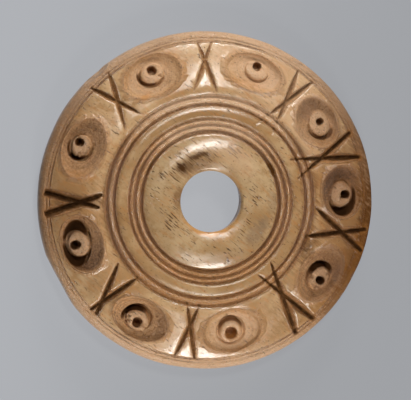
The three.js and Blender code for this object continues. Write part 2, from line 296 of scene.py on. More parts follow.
class BoneColours(bpy.types.PropertyGroup):
    polished: bpy.props.FloatVectorProperty(
        name="Polished bone", description="The worn, shining faces", subtype="COLOR", size=3,
        default=(0.57, 0.392, 0.209),
    )
    tan: bpy.props.FloatVectorProperty(
        name="Tan patches", description="Darker patches in the polish", subtype="COLOR", size=3,
        default=(0.4, 0.235, 0.1),
    )
    cut: bpy.props.FloatVectorProperty(
        name="Cut bone", description="The rough faces left by the tools", subtype="COLOR", size=3,
        default=(0.52, 0.22, 0.06),
    )
    dust: bpy.props.FloatVectorProperty(
        name="Bone dust", description="Pale grains on the rough faces", subtype="COLOR", size=3,
        default=(0.78, 0.46, 0.225),
    )
    # Also painted light: the pale tops of the grooves and the rim's top and bottom
    button: bpy.props.FloatVectorProperty(
        name="Buttons", description="The pale buttons in the eyes", subtype="COLOR", size=3,
        default=(0.82, 0.54, 0.33),
    )
    # Also painted shade: it darkens the hollows and the eyes' points and rings as shade would, and the right
    # of the rim
    soil_and_shade: bpy.props.FloatVectorProperty(
        name="Soil", description="What has settled in the grooves", subtype="COLOR", size=3,
        default=(0.045, 0.02, 0.009),
    )
    stain: bpy.props.FloatVectorProperty(
        name="Stain", description="Dark stains and the bone's own pores", subtype="COLOR", size=3,
        default=(0.08, 0.032, 0.01),
    )
    # Also painted shade: the left and right sides, the grooves' sides and the shaded sides of the eyes'
    # rings and dishes
    halo_and_shade: bpy.props.FloatVectorProperty(
        name="Brown halo", description="Soft brown about the stains and on some cuts", subtype="COLOR",
        size=3, default=(0.17, 0.066, 0.016),
    )
    ash: bpy.props.FloatVectorProperty(
        name="Grey stain", description="Greyish patches in the polish", subtype="COLOR", size=3,
        default=(0.17, 0.11, 0.075),
    )
    # Also painted light: the amber glow on the lower edge of the bore
    glow: bpy.props.FloatVectorProperty(
        name="Amber", description="Amber patches, and the thin edge of the bore", subtype="COLOR", size=3,
        default=(0.6, 0.27, 0.07),
    )


class StudioSettings(bpy.types.PropertyGroup):
    floor: bpy.props.FloatVectorProperty(
        name="Floor", description="Colour of the plain floor", subtype="COLOR", size=3,
        default=(0.475, 0.49, 0.52),
    )
    key: bpy.props.FloatProperty(
        name="Key light", description="Softbox beyond the whorl", default=1.4, subtype="POWER", unit="POWER"
    )
    low_key: bpy.props.FloatProperty(
        name="Low key light", description="The foot of that softbox", default=2.6, subtype="POWER",
        unit="POWER",
    )
    fill: bpy.props.FloatProperty(
        name="Fill light", description="Softbox on the near side", default=0.4, subtype="POWER", unit="POWER"
    )
    low_fill: bpy.props.FloatProperty(
        name="Low fill light", description="The middle of the near softbox", default=1.45, subtype="POWER",
        unit="POWER",
    )
    foot_fill: bpy.props.FloatProperty(
        name="Foot fill light", description="Raking light on the near side", default=1.3, subtype="POWER",
        unit="POWER",
    )
    tilt: bpy.props.FloatProperty(
        name="Camera tilt", description="How far the camera leans from the bore's axis",
        default=math.radians(9.5), subtype="ANGLE", unit="ROTATION",
    )


def arc_level(r, start, end, bulge):
    """Height at radius r of the arc that stands out by bulge from the chord between two points"""
    (r0, z0), (r1, z1) = start, end
    length = math.hypot(r1 - r0, z1 - z0)
    radius = length * length / (8 * bulge) + bulge / 2
    out = np.array((z0 - z1, r1 - r0)) / length
    centre = np.array(((r0 + r1) / 2, (z0 + z1) / 2)) + out * (bulge - radius)
    return centre[1] + np.sqrt(np.maximum(radius**2 - (r - centre[0]) ** 2, 0))


def plain_level(r, height=6.0):
    """Height of the face at radius r before the grooves are turned in it"""
    r = np.asarray(r, dtype=float)
    inner_fall = 0.3 * np.clip((5.3 - r) / 1.7, 0, 1) ** 2
    outer_fall = 0.62 * np.clip((r - 5.3) / 2.65, 0, 1) ** 2.3
    boss = height - inner_fall - outer_fall
    boss -= 0.3 * np.clip((3.95 - r) / 0.35, 0, 1) ** 2
    ridges = np.interp(r, (7.95, 9.9), (height - 0.62, height - 0.72))
    band = height - 0.66 - 0.1 * np.clip(np.abs(r - 10.4) / 0.7, 0, 1.1) ** 2.5
    step = np.interp(r, (11.15, 12.6), (height - 0.8, height - 1.13))
    lip = arc_level(r, (12.6, height - 1.15), (13.9, height - 1.16), 0.09)
    border = border_level(r, height)
    rim = np.interp(r, (18.8, 19.5), (2.85, 2.56))
    shoulder = arc_level(r, (19.5, 2.56), (20.0, 1.5), 0.16)
    return np.select(
        [r < 7.95, r < 9.95, r < 11.15, r < 12.6, r < 13.9, r < 18.8, r < 19.5],
        [boss, ridges, band, step, lip, border, rim],
        shoulder,
    )


def face_level(r, height=6.0):
    """Height of the face at radius r with its turned grooves"""
    level = plain_level(r, height)
    for centre, half, depth in GROOVES:
        across = np.clip(np.abs(np.asarray(r) - centre) / half, 0, 1)
        level = level - depth * (0.5 + 0.5 * np.cos(math.pi * across))
    return level


def border_level(r, height=6.0):
    """Height of the border's own arc at radius r, carried on past its inner and outer edges"""
    return arc_level(r, (13.9, height - 1.16), (18.8, 2.95), 0.25)


def border_slope(r):
    """Downward slope of the border at radius r, as an angle"""
    return math.atan(float(border_level(r - 0.3) - border_level(r + 0.3)) / 0.6)


def deselect():
    if bpy.context.object and bpy.context.object.mode != "OBJECT":
        bpy.ops.object.mode_set(mode="OBJECT")
    bpy.ops.object.select_all(action="DESELECT")


def select(*pieces):
    deselect()
    for piece in pieces:
        piece.select_set(True)
    bpy.context.view_layer.objects.active = pieces[0]


def turned(name, section, steps):
    """A piece turned on the lathe: its section is extruded point by point and spun about Z"""
    deselect()
    bpy.ops.mesh.primitive_plane_add(size=1, location=(0, 0, 0))
    piece = bpy.context.object
    piece.name = name
    bpy.ops.object.mode_set(mode="EDIT")
    bpy.ops.mesh.merge(type="CENTER")
    bpy.ops.transform.translate(value=(section[0][0], 0, section[0][1]))
    for here, there in zip(section, section[1:]):
        move = (there[0] - here[0], 0, there[1] - here[1])
        bpy.ops.mesh.extrude_region_move(TRANSFORM_OT_translate={"value": move})
    bpy.ops.mesh.select_all(action="SELECT")
    bpy.ops.mesh.spin(steps=steps, angle=math.tau, center=(0, 0, 0), axis=(0, 0, 1))
    bpy.ops.mesh.select_all(action="SELECT")
    bpy.ops.mesh.remove_doubles(threshold=0.002)
    bpy.ops.mesh.normals_make_consistent(inside=False)
    bpy.ops.object.mode_set(mode="OBJECT")
    return piece


def whorl_section(sizes):
    """The blank's section, from the foot of the bore up over the face and back underneath"""
    bore, rim, top = sizes.bore / 2, sizes.radius, sizes.height
    radii = np.concatenate((np.arange(bore + 0.02, 19.98, 0.07), (19.98,)))
    face = [(float(r), float(z)) for r, z in zip(radii, face_level(radii, top))]
    mouth = face[0][1]
    bore_wall = [(bore + sizes.taper, 0.3), (bore + sizes.taper * 0.5, mouth * 0.5), (bore, mouth - 0.35)]
    side = [(rim, 1.4), (rim, 0.9), (rim - 0.06, 0.5), (rim - 0.25, 0.18), (rim - 0.6, 0.0)]
    return [(bore + sizes.taper + 0.3, 0.0)] + bore_wall + face + side + [(bore + sizes.taper + 0.3, 0.0)]


def apply_modifier(piece, kind, **settings):
    select(piece)
    modifier = piece.modifiers.new(kind.title(), kind)
    for name, value in settings.items():
        setattr(modifier, name, value)
    bpy.ops.object.modifier_apply(modifier=modifier.name)


def clouds(name, size, depth=2):
    """A soft cloud pattern of that size in millimetres, to push a surface in and out"""
    texture = bpy.data.textures.new(name, "CLOUDS")
    texture.noise_scale = size
    texture.noise_depth = depth
    return texture


def roughen(piece, name, size, strength, depth=2, group=""):
    apply_modifier(
        piece, "DISPLACE", texture=clouds(name, size, depth), strength=strength, mid_level=0.5,
        texture_coords="LOCAL", vertex_group=group,
    )


def joined(name, pieces):
    select(*pieces)
    bpy.ops.object.join()
    piece = bpy.context.object
    piece.name = name
    return piece


def placed(piece, matrix):
    """Moves a cutter to its place and applies it, so that its mesh holds its place"""
    piece.matrix_world = matrix
    select(piece)
    bpy.ops.object.transform_apply(location=True, rotation=True, scale=True)


def cut_away(piece, cutter):
    apply_modifier(piece, "BOOLEAN", operation="DIFFERENCE", solver="MANIFOLD", object=cutter)
    bpy.data.objects.remove(cutter)


def bit_section(dot):
    """The centre bit's own outline: drill point, button, ring groove and a bowl with tool lines"""
    bowl = []
    bowl_foot = RING_MOUTH + 0.06
    for step in range(1, 17):
        share = step / 16
        line = 0.022 if step % 2 else 0.0
        bowl.append((bowl_foot + (DISH_EDGE - bowl_foot) * share, -0.66 * (1 - share**1.7) - line))
    return [
        (0.0, -1.6), (dot * 0.8, -1.5), (dot, -0.55), (dot + 0.07, -0.41), (0.85, -0.36), (1.1, -0.42),
        (1.22, -0.54), (BUTTON_EDGE, -0.8), (1.33, -1.0), (1.38, -1.12), (1.46, -1.12), (1.53, -0.98),
        (1.58, -0.78), (bowl_foot, -0.66), *bowl, (3.45, 0.5), (3.5, 1.4), (0.0, 1.4),
    ]


def spread(reach, point, button, ring, dish):
    """A value for the point, the button, the ring's mouth and the dish, spread over the bit's radii"""
    return np.interp(reach, (0.5, BUTTON_EDGE, RING_MOUTH, DISH_EDGE), (point, button, ring, dish))


def eye_cutter(angle, point, button, ring, dish, lie, dot):
    """One eye's cutter: the bit's shape, stretched to this eye and laid over the curve of the border"""
    cutter = turned("eye_cutter", bit_section(dot), 72)
    places = shape(cutter)
    x, y, height = places.T
    reach = np.hypot(x, y)
    way = np.arctan2(y, x)
    turn, deep_side, deeper, sunk = lie
    at_ring = np.interp(reach, (1.15, 1.33, 1.5, 1.62), (0, 1, 1, 0)) * (height < 0)
    height = height - at_ring * (sunk + deeper * np.cos(way - math.radians(deep_side)))
    long = spread(reach, 1, button[2] / BUTTON_EDGE, ring[2] / RING_MOUTH, dish[2] / DISH_EDGE) * x
    broad = spread(reach, 1, button[3] / BUTTON_EDGE, ring[3] / RING_MOUTH, dish[3] / DISH_EDGE) * y
    lean = math.radians(turn) * spread(reach, 0, 0, 1, 0)
    along = spread(reach, point[0], button[0], ring[0], dish[0]) + long * np.cos(lean) - broad * np.sin(lean)
    out = spread(reach, point[1], button[1], ring[1], dish[1]) + long * np.sin(lean) + broad * np.cos(lean)
    slope = border_slope(EYE_CIRCLE)
    r = EYE_CIRCLE + out
    bend = along / EYE_CIRCLE
    level = border_level(r)
    moved = (r * np.cos(bend) + height * math.sin(slope), r * np.sin(bend), level + height * math.cos(slope))
    cutter.data.vertices.foreach_set("co", np.stack(moved, 1).ravel())
    roughen(cutter, "unsteady_hand", 1.5, 0.12, 1)
    placed(cutter, Matrix.Rotation(math.radians(angle), 4, "Z"))
    select(cutter)
    bpy.ops.object.mode_set(mode="EDIT")
    bpy.ops.mesh.select_all(action="SELECT")
    bpy.ops.mesh.normals_make_consistent(inside=False)
    bpy.ops.object.mode_set(mode="OBJECT")
    return cutter


def stroke_cutter(rim_angle, rim_radius, inner_angle, inner_radius, bite):
    """A knife stroke: a three-sided bar, keel down, laid on the chord between two points of the face"""
    ends = []
    for angle, r in ((rim_angle, rim_radius), (inner_angle, inner_radius)):
        turn = math.radians(angle)
        ends.append(Vector((r * math.cos(turn), r * math.sin(turn), float(plain_level(r)) - bite)))
    along = ends[1] - ends[0]
    deselect()
    inner_size, rim_size = 1.2 - 0.3 * bite, 1.2 + 0.35 * bite
    bpy.ops.mesh.primitive_cone_add(
        vertices=3, radius1=inner_size, radius2=rim_size, depth=along.length + 0.5
    )
    cutter = bpy.context.object
    bpy.ops.object.mode_set(mode="EDIT")
    bpy.ops.transform.resize(value=(1.2, 1, 1))
    bpy.ops.object.mode_set(mode="OBJECT")
    middle = (ends[0] + ends[1]) / 2
    along.normalize()
    across = Vector((0, 0, 1)).cross(along).normalized()
    up = along.cross(across)
    basis = Matrix((across, -up, -along)).transposed().to_4x4()
    placed(cutter, Matrix.Translation(middle + up * 1.2) @ basis)
    return cutter


def chip_cutter(angle, radius, level, size):
    """A lost flake, as the round cutter that takes it off the edge"""
    deselect()
    turn = math.radians(angle)
    bpy.ops.mesh.primitive_ico_sphere_add(
        subdivisions=4, radius=size, location=(radius * math.cos(turn), radius * math.sin(turn), level)
    )
    cutter = bpy.context.object
    select(cutter)
    bpy.ops.object.transform_apply(location=True, rotation=True, scale=True)
    roughen(cutter, "flake", 0.8, 0.3)
    return cutter


def flat_cutter(angle, radius):
    """A stretch of the rim worn flat, as the block that takes it off"""
    deselect()
    bpy.ops.mesh.primitive_cube_add(size=1, location=(0, 0, 0))
    cutter = bpy.context.object
    turn = Matrix.Rotation(math.radians(angle), 4, "Z")
    placed(cutter, turn @ Matrix.Translation((radius + 3, 0, 2)) @ Matrix.Diagonal((6, 24, 12, 1)))
    return cutter


def shape(piece):
    """The mesh's points, one row each, in millimetres"""
    places = np.empty(len(piece.data.vertices) * 3)
    piece.data.vertices.foreach_get("co", places)
    return places.reshape(-1, 3)


def cut_depth(places):
    """How far each point lies below the plain face, 0 on the sides and underneath"""
    r = np.hypot(places[:, 0], places[:, 1])
    depth = plain_level(r) - places[:, 2]
    on_face = (r > 3.75) & (r < 19.9) & (places[:, 2] > 1.6)
    return np.where(on_face, np.clip(depth, 0, 2), 0)


def hollowness(piece, places, rounds):
    """How far each point lies under the smoothed surface round it"""
    edges = np.empty(len(piece.data.edges) * 2, dtype=np.int32)
    piece.data.edges.foreach_get("vertices", edges)
    a, b = edges[0::2], edges[1::2]
    count = np.bincount(a, minlength=len(places)) + np.bincount(b, minlength=len(places))
    level = places[:, 2].copy()
    for _ in range(rounds):
        total = np.bincount(a, level[b], len(places)) + np.bincount(b, level[a], len(places))
        level = 0.5 * level + 0.5 * total / np.maximum(count, 1)
    return level - places[:, 2]


def eye_reach(places):
    """How far out of its eye each point lies: 0 at the ring's mouth and 1 at the dish's edge"""
    nearest = np.full(len(places), 9.0)
    around = np.degrees(np.arctan2(places[:, 1], places[:, 0]))
    out = np.hypot(places[:, 0], places[:, 1]) - EYE_CIRCLE
    for angle, _, _, ring, dish, *_ in EYES:
        along = np.radians((around - angle + 180) % 360 - 180) * EYE_CIRCLE
        to_ring = np.hypot((along - ring[0]) / ring[2], (out - ring[1]) / ring[3])
        to_dish = np.hypot((along - dish[0]) / dish[2], (out - dish[1]) / dish[3])
        share = (to_ring - 1) / np.maximum(to_ring - to_dish, 0.05)
        nearest = np.minimum(nearest, np.where(to_ring < 1, to_ring - 1, share))
    return nearest


def eye_dirt_and_shade(places):
    """How much grime and painted shade lie at each place in the eyes, nearly black in the point and ring,
    the ring darkest on its shaded sides, and brown in the dish, darker towards its shaded side, then which
    places are on a button, how far each is rubbed smooth again, and which drilled points are clean"""
    black, brown, button, rubbed, clean = np.zeros((5, len(places)))
    around = np.degrees(np.arctan2(places[:, 1], places[:, 0]))
    out = np.hypot(places[:, 0], places[:, 1]) - EYE_CIRCLE
    for (angle, point, pad, ring, dish, lie, dot), eye_marks in zip(EYES, EYE_DIRT_AND_SHADE):
        in_dot, in_ring, ring_sides, in_dish, dish_side = eye_marks
        along = np.radians((around - angle + 180) % 360 - 180) * EYE_CIRCLE
        to_point = np.hypot(along - point[0], out - point[1])
        to_pad = np.hypot((along - pad[0]) / pad[2], (out - pad[1]) / pad[3])
        away, up, turn = along - ring[0], out - ring[1], math.radians(lie[0])
        to_ring = np.hypot(
            (away * math.cos(turn) + up * math.sin(turn)) / ring[2],
            (up * math.cos(turn) - away * math.sin(turn)) / ring[3],
        )
        to_dish = np.hypot((along - dish[0]) / dish[2], (out - dish[1]) / dish[3])
        way = np.arctan2(up, away)
        band = smooth_step(to_pad, 0.95, 1.06) * smooth_step(to_ring, 1.08, 0.95)
        nearer = np.maximum(*(np.cos(way - math.radians(side)) for side in ring_sides))
        lying = smooth_step(nearer, 0.1, 0.8)
        in_point = smooth_step(to_point, dot + 0.12, dot - 0.15)
        black = np.maximum(black, in_dot * in_point)
        clean = np.maximum(clean, (1 - in_dot) * in_point)
        # Grime and painted shade: the ring groove is blackened on the sides where the button or the ring's
        # own wall shades it
        black = np.maximum(black, in_ring * band * lying)
        # Grime and painted shade: the dish is browner towards the side where its wall is shaded
        lying = 0.6 + 0.4 * np.cos(way - math.radians(dish_side))
        outside = smooth_step(to_ring, 0.85, 1.1)
        brown = np.maximum(brown, in_dish * lying * outside * smooth_step(to_dish, 1.12, 0.85))
        button = np.maximum(button, smooth_step(to_pad, 1.04, 0.92))
        rubbed = np.maximum(rubbed, max(0.6 - in_dish, 0) * smooth_step(to_dish, 1.0, 0.85))
    return black, brown, button, rubbed, clean


def stroke_share(places, low, high):
    """How near each point lies to a stroke's keel, 1 on the keel of a deep one"""
    share = np.zeros(len(places))
    flat = places[:, :2]
    for rim_angle, rim_radius, inner_angle, inner_radius, bite in FIRST_STROKES + SECOND_STROKES:
        start, end = (
            r * np.array((math.cos(math.radians(a)), math.sin(math.radians(a))))
            for a, r in ((rim_angle, rim_radius), (inner_angle, inner_radius))
        )
        along = end - start
        part = np.clip(((flat - start) @ along) / (along @ along), 0, 1)
        off = np.linalg.norm(flat - start - part[:, None] * along, axis=1)
        width = 0.6 + 1.3 * bite
        share = np.maximum(share, min(bite / 0.3, 1) * smooth_step(off, low * width, high * width))
    return share


def crumble(piece):
    """Presses in the crumbled places, each a small steep pit with an uneven floor"""
    places = shape(piece)
    for angle, radius, size, depth in CRUMBS:
        turn = math.radians(angle)
        middle = np.array((radius * math.cos(turn), radius * math.sin(turn)))
        away = places[:, :2] - middle
        way = np.arctan2(away[:, 1], away[:, 0])
        reach = np.hypot(away[:, 0], away[:, 1]) / (size * (1 + 0.25 * np.sin(3 * way + angle)))
        near = (reach < 1) & (places[:, 2] > 1.5)
        places[near, 2] -= depth * (1 - reach[near] ** 2) ** 0.6
    piece.data.vertices.foreach_set("co", places.ravel())
    piece.data.update()


def rest_flat(piece):
    """Presses the underside back up to the plane that it rests on"""
    places = shape(piece)
    places[:, 2] = np.maximum(places[:, 2], 0)
    piece.data.vertices.foreach_set("co", places.ravel())
    piece.data.update()


def set_group(piece, name, weights):
    """A vertex group from one weight for each point, in steps of a tenth"""
    group = piece.vertex_groups.new(name=name)
    steps = np.round(np.clip(weights, 0, 1) * 10).astype(int)
    for step in range(1, 11):
        points = np.nonzero(steps == step)[0]
        if len(points):
            group.add(points.tolist(), step / 10, "REPLACE")


def set_attribute(piece, name, values):
    attribute = piece.data.attributes.new(name, "FLOAT", "POINT")
    attribute.data.foreach_set("value", np.asarray(values, dtype=np.float32))


def smooth_step(values, low, high):
    share = np.clip((values - low) / (high - low), 0, 1)
    return share * share * (3 - 2 * share)


def carve_whorl(sizes):
    """Turns the blank, cuts the eyes and strokes, breaks the edge and wears the surface"""
    whorl = turned("carved_whorl", whorl_section(sizes), sizes.steps)
    cut_away(whorl, joined("eye_cutters", [eye_cutter(*eye) for eye in EYES]))
    for strokes in (FIRST_STROKES, SECOND_STROKES):
        cut_away(whorl, joined("stroke_cutters", [stroke_cutter(*s) for s in strokes]))
    chips = [chip_cutter(*chip) for chip in CHIPS]
    cut_away(whorl, joined("chip_cutters", chips + [flat_cutter(*WORN_FLAT)]))
    voxel = sizes.grain
    apply_modifier(whorl, "REMESH", mode="VOXEL", voxel_size=voxel, adaptivity=0)
    apply_modifier(whorl, "SMOOTH", factor=0.5, iterations=2)
    crumble(whorl)
    set_group(whorl, "cut", smooth_step(cut_depth(shape(whorl)), 0.06, 0.2))
    roughen(whorl, "hand_turned", 4.0, 0.1, 1)
    roughen(whorl, "tool_marks", 0.4, 0.1, 3, "cut")
    rest_flat(whorl)
    share = sizes.faces / (2 * len(whorl.data.polygons))
    apply_modifier(whorl, "DECIMATE", ratio=min(share, 1))
    return whorl


def mark_wear(whorl):
    """Writes what the bone material reads: cut faces, hollows, strokes and the reach from each eye"""
    places = shape(whorl)
    depth = cut_depth(places)
    r = np.hypot(places[:, 0], places[:, 1])
    on_face = places[:, 2] > 1.6
    ridges = smooth_step(r, 7.85, 8.1) * smooth_step(r, 10.0, 9.8)
    ridges += smooth_step(r, 11.1, 11.3) * smooth_step(r, 12.75, 12.5)
    reach = eye_reach(places)
    black, brown, button, rubbed, clean = eye_dirt_and_shade(places)
    in_eye = smooth_step(reach, 1.12, 1.0)
    cut = np.maximum(smooth_step(depth, 0.05, 0.2), np.maximum(ridges, in_eye) * on_face)
    set_attribute(whorl, "cut_face", cut * (1 - rubbed))
    set_attribute(whorl, "black_dirt", black * on_face)
    set_attribute(whorl, "brown_dirt", brown * on_face)
    set_attribute(whorl, "button", button)
    # Grime in the turned grooves with painted shade: faint at the top and bottom, which face the lights, and
    # strongest on the left and right sides, which they reach least
    toward_lights = smooth_step(np.abs(places[:, 1]) / np.maximum(r, 1), 0.5, 0.95)
    groove_dirt = smooth_step(depth, 0.14, 0.36) * (r < 12.8) * (0.78 - 0.66 * toward_lights)
    rim_lines = smooth_step(depth, 0.04, 0.12) * (r > 18.6) * (r < 19.4) * 0.7
    set_attribute(whorl, "groove_dirt", np.maximum(groove_dirt, rim_lines))
    set_attribute(whorl, "stroke", stroke_share(places, 0.32, 0.08) * smooth_step(depth, 0.06, 0.3))
    beside = np.maximum(smooth_step(reach, 1.4, 1.1), stroke_share(places, 0.75, 0.35) * (r > 9.9)) * on_face
    set_attribute(whorl, "scuffed", beside)
    sunk = np.clip(hollowness(whorl, places, 60) / 0.3, -1, 1)
    set_attribute(whorl, "hollow", sunk * (1 - clean))
    set_attribute(whorl, "eye_reach", reach)


def node(tree, kind, inputs=None, **settings):
    """A shader node with its settings, and its inputs linked or given a value"""
    made = tree.nodes.new(kind)
    for name, value in settings.items():
        setattr(made, name, value)
    for key, value in (inputs or {}).items():
        if isinstance(value, bpy.types.NodeSocket):
            tree.links.new(value, made.inputs[key])
        else:
            made.inputs[key].default_value = value
    return made


def maths(tree, operation, a, b=0.0, clamp=False):
    return node(tree, "ShaderNodeMath", {0: a, 1: b}, operation=operation, use_clamp=clamp).outputs[0]


def mixed(tree, share, a, b, blend_type="MIX"):
    made = node(tree, "ShaderNodeMix", {0: share}, data_type="RGBA", blend_type=blend_type)
    for index, value in ((6, a), (7, b)):
        if isinstance(value, bpy.types.NodeSocket):
            tree.links.new(value, made.inputs[index])
        else:
            made.inputs[index].default_value = (*value, 1)
    return made.outputs[2]


def stepped(tree, value, low, high, to_low=0.0, to_high=1.0):
    """Value as a share between low and high, eased at both ends"""
    inputs = {"Value": value, "From Min": low, "From Max": high, "To Min": to_low, "To Max": to_high}
    return node(tree, "ShaderNodeMapRange", inputs, interpolation_type="SMOOTHSTEP").outputs["Result"]


def times(tree, a, b):
    return maths(tree, "MULTIPLY", a, b)


def larger(tree, a, b):
    return maths(tree, "MAXIMUM", a, b)


def mapped(tree, vector, **settings):
    """The vector moved by a Mapping node"""
    return node(tree, "ShaderNodeMapping", {"Vector": vector, **settings}).outputs[0]


def noise(tree, vector, scale, detail=2.0, roughness=0.5, distortion=0.0):
    inputs = {"Vector": vector, "Scale": scale, "Detail": detail, "Roughness": roughness}
    return node(tree, "ShaderNodeTexNoise", {**inputs, "Distortion": distortion}).outputs["Fac"]


def attribute(tree, name):
    return node(tree, "ShaderNodeAttribute", attribute_name=name).outputs["Fac"]


def patch_share(tree, places, angle, radius, along, across, ragged):
    """A patch laid round the turning, used for stains, pore patches, painted light and painted shade: 1 in
    its middle and 0 outside, with a ragged edge
    """
    turned_back = mapped(tree, places, Rotation=(0, 0, -math.radians(angle)))
    split = node(tree, "ShaderNodeSeparateXYZ", {0: turned_back})
    x, y = split.outputs[0], split.outputs[1]
    out = maths(tree, "SQRT", maths(tree, "ADD", times(tree, x, x), times(tree, y, y)))
    swept = times(tree, maths(tree, "ARCTAN2", y, x), radius / along)
    off = maths(tree, "DIVIDE", maths(tree, "SUBTRACT", out, radius), across)
    reach = node(tree, "ShaderNodeCombineXYZ", {0: swept, 1: off, 2: 0.0}).outputs[0]
    length = node(tree, "ShaderNodeVectorMath", {0: reach}, operation="LENGTH").outputs["Value"]
    return stepped(tree, maths(tree, "ADD", length, ragged), 1.35, 0.45)


class BonePlaces:
    """Where a point of the bone lies, in the ways that its patterns are laid: in millimetres, along the
    bone's own grain, and round the turning"""

    def __init__(self, tree):
        place = node(tree, "ShaderNodeTexCoord").outputs["Object"]
        self.plain = mapped(tree, place, Scale=(1 / MM, 1 / MM, 1 / MM))
        along_grain = mapped(tree, self.plain, Rotation=(0, 0, math.radians(GRAIN_ANGLE)))
        self.fibres = mapped(tree, along_grain, Scale=(0.15, 1, 0.5))
        flat = mapped(tree, self.plain, Scale=(1, 1, 0))
        self.radius = node(tree, "ShaderNodeVectorMath", {0: flat}, operation="LENGTH").outputs["Value"]
        way = node(tree, "ShaderNodeVectorMath", {0: flat}, operation="NORMALIZE").outputs["Vector"]
        split = node(tree, "ShaderNodeSeparateXYZ", {0: way})
        self.turning = node(tree, "ShaderNodeCombineXYZ", {
            0: times(tree, split.outputs[0], 4.0),
            1: times(tree, split.outputs[1], 4.0),
            2: times(tree, self.radius, 5.0),
        }).outputs[0]
        self.drilling = node(tree, "ShaderNodeCombineXYZ", {
            0: times(tree, attribute(tree, "eye_reach"), 7.5),
            1: times(tree, split.outputs[0], 5.0),
            2: times(tree, split.outputs[1], 5.0),
        }).outputs[0]


def polished_bone(tree, places, colours):
    """Cream with tan clouds and faint fibres"""
    clouds_share = stepped(tree, noise(tree, places.plain, 0.16, 3, 0.5, 0.3), 0.35, 0.7)
    mottle = stepped(tree, noise(tree, places.plain, 1.1, 5, 0.65), 0.42, 0.7, 0, 0.8)
    fibre = stepped(tree, noise(tree, places.fibres, 4.0, 4, 0.65), 0.48, 0.72, 0, 0.55)
    body = mixed(tree, clouds_share, colours.polished, colours.tan)
    body = mixed(tree, mottle, body, colours.tan)
    body = mixed(tree, fibre, body, colours.cut)
    body = mixed(tree, stepped(tree, places.radius, 7.8, 8.4), body, (0.98, 0.93, 0.88), "MULTIPLY")
    return mixed(tree, stepped(tree, places.radius, 11.5, 12.6), body, (1.16, 1.18, 1.24), "MULTIPLY")


def cut_bone(tree, places, colours, grit):
    """Orange brown, with pale grains and the fine rings that the tools left"""
    rings = stepped(tree, noise(tree, places.turning, 1.4, 3, 0.65), 0.42, 0.68, 0, 0.5)
    drill_rings = stepped(tree, noise(tree, places.drilling, 1.0, 3, 0.6), 0.45, 0.62, 0, 0.5)
    in_eye = stepped(tree, attribute(tree, "eye_reach"), 1.15, 1.0)
    pale = stepped(tree, maths(tree, "ADD", grit, times(tree, in_eye, 0.12)), 0.42, 0.72)
    raw = mixed(tree, pale, colours.cut, colours.dust)
    raw = mixed(tree, times(tree, rings, maths(tree, "SUBTRACT", 1.0, in_eye)), raw, colours.halo_and_shade)
    raw = mixed(tree, times(tree, drill_rings, in_eye), raw, colours.halo_and_shade)
    return mixed(tree, times(tree, attribute(tree, "button"), 0.6), raw, colours.button)


def bone_pores(tree, places):
    """Short dark streaks along the grain, in scattered clusters"""
    streaks = noise(tree, places.fibres, 6.0, 1, 0.5)
    clusters = stepped(tree, noise(tree, places.plain, 0.42, 2, 0.5), 0.45, 0.62)
    on_boss = stepped(tree, places.radius, 8.0, 7.6, 0.0, 0.035)
    for angle, radius, along, across in PORE_PATCHES:
        patch = patch_share(tree, places.plain, angle, radius, along, across, 0.0)
        on_boss = larger(tree, on_boss, times(tree, patch, 0.12))
    streaks = maths(tree, "ADD", maths(tree, "ADD", streaks, on_boss), 0.015)
    sparse = times(tree, stepped(tree, streaks, 0.68, 0.74), clusters)
    return larger(tree, sparse, stepped(tree, streaks, 0.745, 0.79))


class BoneWear:
    """How the bone is worn at a point: how rough its face is, its grit, its pores, how deep it lies in a
    hollow and where its crests are rubbed"""

    def __init__(self, tree, places):
        rim = stepped(tree, places.radius, 18.6, 18.8, 0, 0.6)
        self.rough_face = larger(tree, attribute(tree, "cut_face"), rim)
        self.grit = noise(tree, places.plain, 4.0, 3, 0.7)
        self.fine_grit = noise(tree, places.plain, 7.5, 2, 0.65)
        self.pores = bone_pores(tree, places)
        self.hollow = attribute(tree, "hollow")
        inner = stepped(tree, places.radius, 13.4, 12.6, 0.35, 0.85)
        outer = stepped(tree, places.radius, 18.8, 18.4)
        self.crests = maths(tree, "MINIMUM", inner, outer)


def bare_bone(tree, places, wear, colours):
    """The bone's own colour, polished or cut, with its pores"""
    polished = polished_bone(tree, places, colours)
    cut = cut_bone(tree, places, colours, wear.grit)
    colour = mixed(tree, times(tree, wear.rough_face, 0.9), polished, cut)
    return mixed(tree, times(tree, wear.pores, 0.85), colour, colours.stain)


def stains_light_and_shade(tree, places, colours, colour):
    """The colour with its stains, painted light and painted shade laid over it, and how far the dark ones
    dull the polish
    """
    ragged = maths(tree, "SUBTRACT", noise(tree, places.fibres, 3.2, 4, 0.75), 0.5)
    ragged = times(tree, ragged, 2.3)
    dull = 0.0
    for angle, radius, along, across, strength, tint in STAINS_LIGHT_AND_SHADE:
        share = patch_share(tree, places.plain, angle, radius, along, across, ragged)
        share = times(tree, share, strength)
        colour = mixed(tree, share, colour, getattr(colours, tint))
        if tint in ("stain", "soil_and_shade"):
            dull = larger(tree, dull, share)
    return colour, dull


